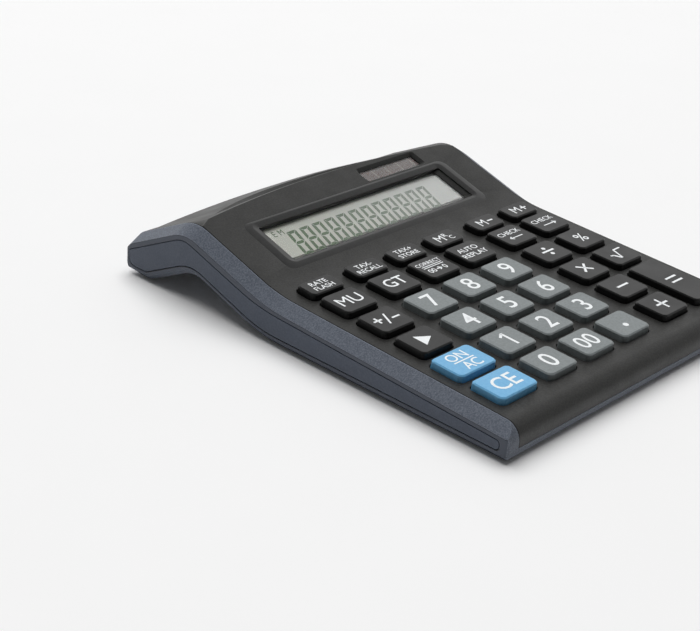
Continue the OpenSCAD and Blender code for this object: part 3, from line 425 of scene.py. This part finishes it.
# polariser film on glass: dull silver with a fine speckle from the reflector behind it. It is
# painted darker and greener to the left: painted shade there, and the lower angle at which the film
# is seen there
polariser, tree, shader, place = start_finish("lcd_polariser_film", IOR=1.5, Roughness=0.4,
                                             Specular_IOR_Level=0.1)
speckle = add_node(tree, "ShaderNodeTexNoise", values={"Scale": per_mm(0.5), "Detail": 2.0},
                   links={"Vector": place})
film_and_shade = fade_across(tree, place, "#e4e3d9", "#f1f0ee")
glint = add_node(tree, "ShaderNodeMix", {"data_type": "RGBA", "blend_type": "MULTIPLY"},
                 {0: SPECKLE}, {MIX_A: film_and_shade, MIX_B: speckle.outputs["Color"]})
tree.links.new(glint.outputs[MIX_OUT], shader.inputs["Base Color"])

# liquid crystal segments: dark green, and paler to the right, further from the angle that they are
# made for
crystal, tree, shader, place = start_finish("lcd_segment_dark", IOR=1.5, Roughness=0.4,
                                           Specular_IOR_Level=0.1)
ink = fade_across(tree, place, "#356019", "#9aa196")
tree.links.new(ink, shader.inputs["Base Color"])

# amorphous silicon behind glass: brown, glossy, with pale scribe lines between the cells
silicon, tree, shader, place = start_finish("amorphous_silicon", IOR=1.5, Roughness=0.12)
across = add_node(tree, "ShaderNodeSeparateXYZ", links={0: place})
phase = add_node(tree, "ShaderNodeMath", {"operation": "MULTIPLY"}, {1: per_mm(CELL_PITCH_MM)},
                 {0: across.outputs["X"]})
saw = add_node(tree, "ShaderNodeMath", {"operation": "FRACT"}, links={0: phase.outputs[0]})
scribe = add_node(tree, "ShaderNodeMath", {"operation": "LESS_THAN"}, {1: SCRIBE_SHARE},
                  {0: saw.outputs[0]})
grain = add_node(tree, "ShaderNodeTexNoise", values={"Scale": per_mm(3), "Detail": 3.0},
                 links={"Vector": place})
body = mix_tones(tree, grain.outputs["Fac"], "#4c2e29", "#5a3933")
cell = add_node(tree, "ShaderNodeMix", {"data_type": "RGBA"}, {MIX_B: linear("#87786f")},
                {0: scribe.outputs[0], MIX_A: body})
tree.links.new(cell.outputs[MIX_OUT], shader.inputs["Base Color"])
print("display finishes:", [m.name for m in (acrylic, polariser, crystal, silicon)])

# %% [markdown]
# ## Small parts, inside and underneath
# The screws are zinc-plated steel, the feet are rubber, and inside are the usual board, rubber
# sheet, cell and contacts. Each gets the finish that its real material has, from one recipe that
# mixes two tones by a noise and varies the gloss.

# %% Finishes for the small parts


def plain_stuff(name, dark, light, gloss, cloud_mm, bump_mm=0.0, **values):
    """Two tones mixed by a noise, with gloss between two roughnesses and, if asked, a bump."""
    material, tree, shader, place = start_finish(name, **values)
    cloud = add_node(tree, "ShaderNodeTexNoise", values={"Scale": per_mm(cloud_mm), "Detail": 3.0},
                     links={"Vector": place})
    tone = mix_tones(tree, cloud.outputs["Fac"], dark, light)
    rough = add_node(tree, "ShaderNodeMapRange", values={"To Min": gloss[0], "To Max": gloss[1]},
                     links={"Value": cloud.outputs["Fac"]})
    tree.links.new(tone, shader.inputs["Base Color"])
    tree.links.new(rough.outputs["Result"], shader.inputs["Roughness"])
    if bump_mm:
        bump = add_node(tree, "ShaderNodeBump", values={"Strength": 1.0, "Distance": bump_mm * MM},
                        links={"Height": cloud.outputs["Fac"]})
        tree.links.new(bump.outputs["Normal"], shader.inputs["Normal"])
    return material


print_ink = plain_stuff("white_print_ink", "#f2f6f8", "#fbfdfe", (0.45, 0.6), 1.2, IOR=1.48)
frame_abs = plain_stuff("dark_abs_frame", "#26282b", "#303236", (0.5, 0.6), 2.0, 0.01, IOR=1.52)
film_amber = plain_stuff("polyimide_film", "#9c6f26", "#b98a3c", (0.25, 0.35), 4.0, IOR=1.6)
sleeve = plain_stuff("pvc_sleeve", "#1f2123", "#2c2f31", (0.4, 0.5), 1.5, IOR=1.53)
laminate = plain_stuff("green_board_laminate", "#235237", "#35744d", (0.3, 0.42), 2.5, 0.01,
                       IOR=1.55)
silicone = plain_stuff("grey_silicone_rubber", "#8f9597", "#a2a8aa", (0.6, 0.75), 3.0, 0.01,
                       IOR=1.41)
resin = plain_stuff("black_epoxy_resin", "#131415", "#1f2022", (0.2, 0.35), 3.0, 0.05, IOR=1.55)
ceramic = plain_stuff("fired_ceramic", "#94754c", "#ac8b5e", (0.45, 0.55), 0.8, IOR=1.6)
cell_steel = plain_stuff("nickel_plated_steel", "#b9bbbc", "#cdcfd0", (0.22, 0.34), 1.5,
                         Metallic=1.0)
contact = plain_stuff("nickel_spring_strip", "#bdb595", "#d0c9a8", (0.25, 0.35), 1.0, Metallic=1.0)
zinc = plain_stuff("zinc_plated_steel", "#8b9095", "#a8adb2", (0.28, 0.42), 0.6, Metallic=1.0)
rubber = plain_stuff("black_rubber", "#191a1b", "#262728", (0.75, 0.9), 0.8, 0.03, IOR=1.5)
print("small finishes made, materials in all:", len(bpy.data.materials))

# %% [markdown]
# ## Finishes onto the solids
# A solid keeps its shape and gets its finish in its material slot. The keys fall into three
# groups by their record slot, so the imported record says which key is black, grey or blue.

# %% Put the finishes on the nodes
BY_SLOT = {
    "shell_black": shell_black, "rail_blue": rail_blue, "inlay_blue": inlay_blue,
    "key_black": key_black, "key_grey": key_grey, "key_blue": key_blue,
    "clear_window": acrylic, "lcd_glass": polariser, "frame_plastic": frame_abs,
    "flat_cable": film_amber, "solar_glass": silicon, "lead_insulation": sleeve,
    "board_laminate": laminate, "keypad_rubber": silicone, "chip_resin": resin,
    "ceramic": ceramic, "cell_steel": cell_steel, "contact_metal": contact,
    "screw_steel": zinc, "foot_rubber": rubber,
}
slot_of = {part["node"]: part["material_slot"] for part in frame["record"]["subparts"]}
for name, node in nodes.items():
    node.data.materials.clear()
    node.data.materials.append(BY_SLOT[slot_of[name]])
keys = sorted(name for name in nodes if name.startswith("key_"))
print("finished nodes:", len(nodes), "of which keys:", len(keys))

# %% [markdown]
# ## Smooth shading and soft key edges
# A solid arrives as loose flat triangles. A Weld modifier joins them, and a small geometry node
# group shades them smooth except across edges sharper than 30 degrees, so the long sweep of the
# case shows no facets. A Weighted Normal modifier lets the large faces decide, so they stay flat
# beside a small rounding. The moulded edges of the key tops get a Bevel modifier on top.

# %% Make the shading group and add the modifiers
SHARP = math.radians(30)
KEY_WELD_M = 0.02 * MM
CASE_WELD_M = KEY_WELD_M / 10
KEY_ROUND_M = 0.15 * MM

shading = bpy.data.node_groups.new("smooth_below_sharp", "GeometryNodeTree")
shading.interface.new_socket("Geometry", in_out="INPUT", socket_type="NodeSocketGeometry")
shading.interface.new_socket("Geometry", in_out="OUTPUT", socket_type="NodeSocketGeometry")
come = add_node(shading, "NodeGroupInput")
smooth = add_node(shading, "GeometryNodeSetShadeSmooth", {"domain": "FACE"},
                  links={"Geometry": come.outputs[0]})
angle = add_node(shading, "GeometryNodeInputMeshEdgeAngle")
steep = add_node(shading, "ShaderNodeMath", {"operation": "GREATER_THAN"}, {1: SHARP},
                 {0: angle.outputs["Unsigned Angle"]})
sharp = add_node(shading, "GeometryNodeSetShadeSmooth", {"domain": "EDGE"}, {"Shade Smooth": False},
                 {"Geometry": smooth.outputs[0], "Selection": steep.outputs[0]})
add_node(shading, "NodeGroupOutput", links={0: sharp.outputs[0]})

for name, node in nodes.items():
    weld = node.modifiers.new("join_triangles", "WELD")
    weld.merge_threshold = KEY_WELD_M if name in keys else CASE_WELD_M
    if name in keys:
        soften = node.modifiers.new("soft_edges", "BEVEL")
        soften.width = KEY_ROUND_M
        soften.segments = 3
        soften.limit_method = "ANGLE"
        soften.angle_limit = SHARP
    node.modifiers.new("shade_smooth", "NODES").node_group = shading
    even = node.modifiers.new("even_normals", "WEIGHTED_NORMAL")
    even.keep_sharp = True
print("smoothed nodes:", len(nodes))

# %% [markdown]
# ## Where the print goes
# Legends are printed on the key tops, so each needs the plane of its own top. The highest face of
# a key that points up is part of its top, and all the corners in that plane give its middle.
# The result is a matrix: x to the right, y to the rear along the top, z out of it.

# %% Measure the top of a solid
FLAT = 0.9
SAME_PLANE = 0.01 * MM


def top_of(name):
    """The frame of a node's top face, in metres, and its size across and along in mm."""
    mesh = nodes[name].data
    face = max((f for f in mesh.polygons if f.normal.z > FLAT), key=lambda f: f.center.z)
    out = face.normal.copy()
    along = out.cross(Vector((1, 0, 0))).normalized()
    level = face.center.dot(out)
    rim = [v.co for v in mesh.vertices if abs(v.co.dot(out) - level) < SAME_PLANE]
    xs = [p.x for p in rim]
    ys = [p.dot(along) for p in rim]
    middle = Vector(((min(xs) + max(xs)) / 2, 0, 0)) + along * (min(ys) + max(ys)) / 2 + out * level
    turn = Matrix((Vector((1, 0, 0)), along, out)).transposed().to_4x4()
    size = ((max(xs) - min(xs)) / MM, (max(ys) - min(ys)) / MM)
    return Matrix.Translation(middle) @ turn, size


for name in ("key_7", "key_rate", "display_window"):
    print(name, "top in mm:", [round(x, 2) for x in top_of(name)[1]])

# %% [markdown]
# ## Words and signs
# Pad printing lays down a film of ink a few hundredths of a millimetre thick. A word starts as a
# text curve, is made a mesh, and is then scaled to its height and laid on the top. Signs are made
# of bars, discs and arrow heads. All parts of a legend go into one bmesh, drawn flat in mm.

# %% Helpers that draw in a flat bmesh
INK_MM = 0.05
INK_SUNK_MM = 0.02
INK_Z = INK_MM / 2 - INK_SUNK_MM
SAME_SPOT_MM = 0.002
ARROW_W = 0.5
# an arrow's barb: its length, its turn from the shaft, and its middle's way back from the tip
BARB_L, BARB_TURN, BARB_BACK = 1.9, 145, 0.75


def add_word(bm, word, height, x=0.0, y=0.0, weight=0.006, squeeze=1.0):
    """A word whose tallest letter is height mm high, with its middle at x, y."""
    curve = bpy.data.curves.new("word", "FONT")
    curve.body = word
    curve.offset = weight
    curve.extrude = 0.5  # half of 1, which the scaling below turns into the ink's thickness
    curve.resolution_u = 4
    text = bpy.data.objects.new("word", curve)
    bpy.context.scene.collection.objects.link(text)
    solid = text.evaluated_get(bpy.context.evaluated_depsgraph_get())
    mesh = bpy.data.meshes.new_from_object(solid)
    bpy.data.objects.remove(text)
    low = [min(v.co[i] for v in mesh.vertices) for i in range(2)]
    high = [max(v.co[i] for v in mesh.vertices) for i in range(2)]
    scale = height / (high[1] - low[1])
    mesh.transform(Matrix.Translation((-(low[0] + high[0]) / 2, -(low[1] + high[1]) / 2, 0)))
    mesh.transform(Matrix.Diagonal((scale * squeeze, scale, INK_MM, 1)))
    mesh.transform(Matrix.Translation((x, y, INK_Z)))
    bm.from_mesh(mesh)
    bpy.data.meshes.remove(mesh)


def add_bar(bm, length, width, x=0.0, y=0.0, turn=0.0):
    """A bar of ink, turned by an angle in degrees."""
    place = (Matrix.Translation((x, y, INK_Z))
             @ Matrix.Rotation(math.radians(turn), 4, "Z")
             @ Matrix.Diagonal((length, width, INK_MM, 1)))
    bmesh.ops.create_cube(bm, size=1, matrix=place)


def add_disc(bm, radius, x=0.0, y=0.0, corners=24, turn=0.0):
    """A disc of ink, or with few corners a triangle or square."""
    place = (Matrix.Translation((x, y, INK_Z))
             @ Matrix.Rotation(math.radians(turn), 4, "Z"))
    bmesh.ops.create_cone(bm, cap_ends=True, segments=corners, radius1=radius, radius2=radius,
                          depth=INK_MM, matrix=place)


def heading(turn):
    """A flat direction from its angle in degrees."""
    return Vector((math.cos(math.radians(turn)), math.sin(math.radians(turn))))


def add_arrow(bm, length, x=0.0, y=0.0, turn=0.0):
    """An arrow with a shaft and two barbs, pointing to +X before it is turned."""
    add_bar(bm, length, ARROW_W, x, y, turn)
    for side in (-1, 1):
        barb = turn + side * BARB_TURN
        spot = heading(turn) * length / 2 + heading(barb) * BARB_BACK
        add_bar(bm, BARB_L, ARROW_W, x + spot.x, y + spot.y, barb)


def lay(bm, name, at, material, body):
    """The bmesh, drawn in mm, as a piece that lies in the frame at and rides on a body."""
    bmesh.ops.remove_doubles(bm, verts=bm.verts, dist=SAME_SPOT_MM)
    bmesh.ops.recalc_face_normals(bm, faces=bm.faces)
    bmesh.ops.transform(bm, matrix=at @ Matrix.Scale(MM, 4), verts=bm.verts)
    mesh = bpy.data.meshes.new(name)
    bm.to_mesh(mesh)
    bm.free()
    mesh.materials.append(material)
    piece = bpy.data.objects.new(name, mesh)
    bpy.context.scene.collection.objects.link(piece)
    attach(piece, body)
    return piece


print("ink:", INK_MM, "mm thick, of which", INK_SUNK_MM, "mm is below the face")

# %% [markdown]
# ## The legends
# Number keys carry one large figure. Command keys carry short words in one or two lines, and the
# sums carry their signs. Sizes are in mm on the key top, taken from the picture: first the height
# of a word, or the length and width of a bar, then the place from the middle of the top, then a
# turn in degrees.

# %% Draw each legend
FIGURE_MM = 7.8
SIGN_L, SIGN_W = 6.4, 0.95


def figures(word, height=FIGURE_MM, weight=0.006):
    """One word in the middle of the top."""
    return lambda bm: add_word(bm, word, height, weight=weight)


def two_lines(upper, lower, height, apart):
    """Two words, each as far from the middle as apart says."""
    def draw(bm):
        add_word(bm, upper, height, 0, apart)
        add_word(bm, lower, height, 0, -apart)
    return draw


def memory(sign):
    """A letter and a plus or minus."""
    def draw(bm):
        add_word(bm, "M", 4.2, -1.7, 0, 0.0)
        add_bar(bm, 3.0, 0.7, 3.0, 0)
        if sign == "+":
            add_bar(bm, 0.7, 3.0, 3.0, 0)
    return draw


def recall(bm):
    add_word(bm, "M", 4.2, -2.0, 0, 0.0)
    add_word(bm, "R", 2.4, 1.8, 1.2)
    add_word(bm, "C", 2.4, 3.4, -1.2)


def correct(bm):
    add_word(bm, "CORRECT", 2.0, 0, 3.0)
    add_bar(bm, 10.4, 0.4, 0, 1.2)
    add_bar(bm, 10.4, 0.4, 0, 0.2)
    add_word(bm, "00", 2.6, -3.3, -2.2)
    add_arrow(bm, 2.6, 0.3, -2.2)
    add_word(bm, "0", 2.6, 3.4, -2.2)


def check(turn):
    """A word over an arrow to the right or left."""
    def draw(bm):
        add_word(bm, "CHECK", 2.6, 0, 1.9)
        add_arrow(bm, 7.0, 0, -2.0, turn)
    return draw


def change_sign(bm):
    add_bar(bm, 3.8, 0.8, -3.6, 0.6)
    add_bar(bm, 0.8, 3.8, -3.6, 0.6)
    add_bar(bm, 6.6, 0.7, 0.2, 0, 66)
    add_bar(bm, 3.6, 0.8, 3.9, -0.6)


def on_clear(bm):
    add_word(bm, "ON", 4.2, -0.6, 2.9)
    add_bar(bm, 9.6, 0.55, 0, 0)
    add_word(bm, "AC", 4.2, 0.6, -2.9)


def one(bm):
    add_bar(bm, 1.05, FIGURE_MM, 0.7, 0)
    add_bar(bm, 2.9, SIGN_W, -0.5, 2.75, 36)


def divide(bm):
    add_bar(bm, 6.6, SIGN_W, 0, 0)
    add_disc(bm, 0.85, 0, 2.2)
    add_disc(bm, 0.85, 0, -2.2)


def multiply(bm):
    add_bar(bm, 6.8, SIGN_W, 0, 0, 45)
    add_bar(bm, 6.8, SIGN_W, 0, 0, -45)


def plus(bm):
    add_bar(bm, SIGN_L, SIGN_W)
    add_bar(bm, SIGN_W, SIGN_L)


def equals(bm):
    add_bar(bm, SIGN_L, SIGN_W, 0, 1.5)
    add_bar(bm, SIGN_L, SIGN_W, 0, -1.5)


def root(bm):
    add_bar(bm, 1.6, 0.7, -3.3, -0.2, -20)
    add_bar(bm, 3.8, 0.9, -2.0, -1.6, -62)
    add_bar(bm, 6.4, 0.7, 0.1, -0.3, 70)
    add_bar(bm, 4.0, 0.7, 3.1, 2.6)


LEGENDS = {
    "key_rate": two_lines("RATE", "FLASH", 2.4, 1.6),
    "key_tax_minus": two_lines("TAX-", "RECALL", 2.4, 1.6),
    "key_tax_plus": two_lines("TAX+", "STORE", 2.4, 1.6),
    "key_recall": recall, "key_m_minus": memory("-"), "key_m_plus": memory("+"),
    "key_mark_up": figures("MU", 5.4, 0.0), "key_total": figures("GT", 5.4), "key_correct": correct,
    "key_replay": two_lines("AUTO", "REPLAY", 2.7, 2.0),
    "key_check_back": check(180), "key_check_on": check(0),
    "key_sign": change_sign, "key_divide": divide, "key_percent": figures("%", 5.4),
    "key_shift": lambda bm: add_disc(bm, 3.7, -0.5, 0, 3, -90),
    "key_multiply": multiply, "key_root": root, "key_on": on_clear, "key_1": one,
    "key_minus": lambda bm: add_bar(bm, SIGN_L, SIGN_W), "key_equals": equals,
    "key_clear": figures("CE", 6.8), "key_00": figures("00", 7.0),
    "key_point": lambda bm: add_disc(bm, 1.1, 0, -1.4), "key_plus": plus,
}
LEGENDS.update({f"key_{n}": figures(str(n)) for n in range(10) if n != 1})

for name in keys:
    legend = bmesh.new()
    LEGENDS[name](legend)
    lay(legend, "legend_" + name[4:], top_of(name)[0], print_ink, name + "_body")
print("legends:", len(keys))

# %% [markdown]
# ## The figures in the display
# Twelve places of seven bars each, leaning to the right as display figures do. All bars of all
# places show. The outer bars are mitred, cut at 45 degrees where two of them meet. The middle bar
# is pointed at both ends: it starts as a six-sided disc whose two halves are pulled apart.

# %% Draw the seven-bar figures
PLACES = 12
PLACE_PITCH = 6.42
FIGURE_W = 4.7
FIGURE_H = 12.8
BAR_W = 1.35
BAR_GAP = 0.15
LEAN = math.radians(9)
FIGURES_X = -2.2
FIGURES_Y = -1.67
SEGMENT_MM = 0.03
INDICATORS = (("M", -40.6), ("E", -43.9))
INDICATOR_H, INDICATOR_Y, INDICATOR_SQUEEZE = 2.8, 5.6, 0.8
# a hexagon's width across its flats, for a side of 1
TO_FLATS = math.sqrt(3)


def add_segment(bm, length, x, y, turn):
    """A bar with its middle at x, y, whose ends are cut at 45 degrees towards its inner side."""
    block = Matrix.Diagonal((length, BAR_W, SEGMENT_MM, 1))
    bar = bmesh.ops.create_cube(bm, size=1, matrix=block)["verts"]
    bmesh.ops.scale(bm, vec=(1 - 2 * BAR_W / length, 1, 1), verts=[v for v in bar if v.co.y < 0])
    about_z = Matrix.Rotation(math.radians(turn), 3, "Z")
    bmesh.ops.rotate(bm, verts=bar, cent=(0, 0, 0), matrix=about_z)
    bmesh.ops.translate(bm, verts=bar, vec=(x, y, SEGMENT_MM / 2))


def add_pointed_segment(bm, length, x, y):
    """The middle bar, pointed at both ends: a six-sided disc with its halves pulled apart."""
    radius = BAR_W / TO_FLATS
    # turned to have two corners along the bar, and stretched until these are right angles
    pointed = Matrix.Diagonal((TO_FLATS, 1, 1, 1)) @ Matrix.Rotation(math.radians(30), 4, "Z")
    bar = bmesh.ops.create_cone(bm, cap_ends=True, segments=6, radius1=radius, radius2=radius,
                                depth=SEGMENT_MM, matrix=pointed)["verts"]
    for end in (-1, 1):
        half = [v for v in bar if v.co.x * end > 0]
        bmesh.ops.translate(bm, verts=half, vec=(end * (length / 2 - BAR_W), 0, 0))
    bmesh.ops.translate(bm, verts=bar, vec=(x, y, SEGMENT_MM / 2))


segments = bmesh.new()
for place_no in range(PLACES):
    middle = FIGURES_X + (place_no - (PLACES - 1) / 2) * PLACE_PITCH
    half_w, half_h = (FIGURE_W - BAR_W) / 2, (FIGURE_H - BAR_W) / 2
    add_segment(segments, FIGURE_W - 2 * BAR_GAP, middle, half_h, 0)
    add_segment(segments, FIGURE_W - 2 * BAR_GAP, middle, -half_h, 180)
    add_pointed_segment(segments, FIGURE_W - 4 * BAR_GAP, middle, 0)
    for side in (-1, 1):
        for level in (-1, 1):
            add_segment(segments, FIGURE_H / 2 - 2 * BAR_GAP, middle + side * half_w,
                        level * FIGURE_H / 4, -90 * side)
slant = Matrix.Identity(4)
slant[0][1] = math.tan(LEAN)
bmesh.ops.transform(segments, matrix=Matrix.Translation((0, FIGURES_Y, 0)) @ slant,
                    verts=segments.verts)
for letter, x in INDICATORS:
    add_word(segments, letter, INDICATOR_H, x, INDICATOR_Y, 0.0, INDICATOR_SQUEEZE)
window_frame = top_of("display_window")[0]
lcd_frame = top_of("lcd_panel")[0]
drop = (lcd_frame.translation - window_frame.translation).dot(window_frame.col[2].to_3d())
face = window_frame @ Matrix.Translation((0, 0, drop))
lay(segments, "lcd_figures", face, crystal, "case")
print("figures:", PLACES, "at", round(drop / MM, 2), "mm below the window's face")

# %% [markdown]
# ## The rim of the display
# A shallow moulded frame stands a little proud of the slope and leads down to the window in a wide
# bevel. It starts as one flat face with rounded corners at the rim's highest line. Each inset makes
# the next ring inwards, lower than the last, and the outer edge is extruded out and down to the
# slope. The face that is left in the middle is taken out, and a bridge between the two open loops
# closes the underside.

# %% Make the rim
SLOPE_MM = 1.8
RIM_PROUD = 0.35
RIM_W, RIM_D, RIM_Y = 104, 23.6, -0.2
RIM_CORNER, CORNER_STEPS = 3.2, 8
SKIRT_W, SKIRT_D, SKIRT_Y = 110.4, 27.4, -0.8
SKIRT_SUNK = 0.05
# rings inwards from the highest line, as breadth and rise: a soft edge, the bevel, and the wall
EDGE_RING, BEVEL_RING, WALL_RING = (0.25, -0.02), (2.2, -0.47), (0.02, -1.5)
OPENING_STRETCH, OPENING_Y = 1.032, -0.44


def step_in(bm, faces, ring):
    """Inset the faces, which leaves a ring of new faces round them."""
    bmesh.ops.inset_region(bm, faces=faces, thickness=ring[0], depth=ring[1], use_boundary=True,
                           use_even_offset=True)


rim = bmesh.new()
flat = Matrix.Translation((0, RIM_Y, RIM_PROUD)) @ Matrix.Diagonal((RIM_W, RIM_D, 1, 1))
bmesh.ops.create_grid(rim, x_segments=1, y_segments=1, size=0.5, matrix=flat)
bmesh.ops.bevel(rim, geom=rim.verts[:], offset=RIM_CORNER, affect="VERTICES",
                segments=CORNER_STEPS, profile=0.5, material=-1)
opening = rim.faces[:]
step_in(rim, opening, EDGE_RING)
step_in(rim, opening, BEVEL_RING)
bmesh.ops.scale(rim, vec=(1, OPENING_STRETCH, 1), verts=opening[0].verts[:])
bmesh.ops.translate(rim, vec=(0, OPENING_Y, 0), verts=opening[0].verts[:])
step_in(rim, opening, WALL_RING)
bmesh.ops.delete(rim, geom=opening, context="FACES")
crest = [e for e in rim.edges if e.is_boundary and e.verts[0].co.z > 0]
drawn_out = bmesh.ops.extrude_edge_only(rim, edges=crest)["geom"]
skirt = [v for v in drawn_out if isinstance(v, bmesh.types.BMVert)]
bmesh.ops.scale(rim, vec=(SKIRT_W / RIM_W, SKIRT_D / RIM_D, 1), verts=skirt)
bmesh.ops.translate(rim, vec=(0, SKIRT_Y, -RIM_PROUD - SKIRT_SUNK), verts=skirt)
bmesh.ops.bridge_loops(rim, edges=[e for e in rim.edges if e.is_boundary])
on_slope = window_frame @ Matrix.Translation((0, 0, SLOPE_MM * MM))
display_rim = lay(rim, "display_rim", on_slope, rim_black, "case")
display_rim.modifiers.new("shade_smooth", "NODES").node_group = shading
print("rim faces:", len(display_rim.data.polygons))
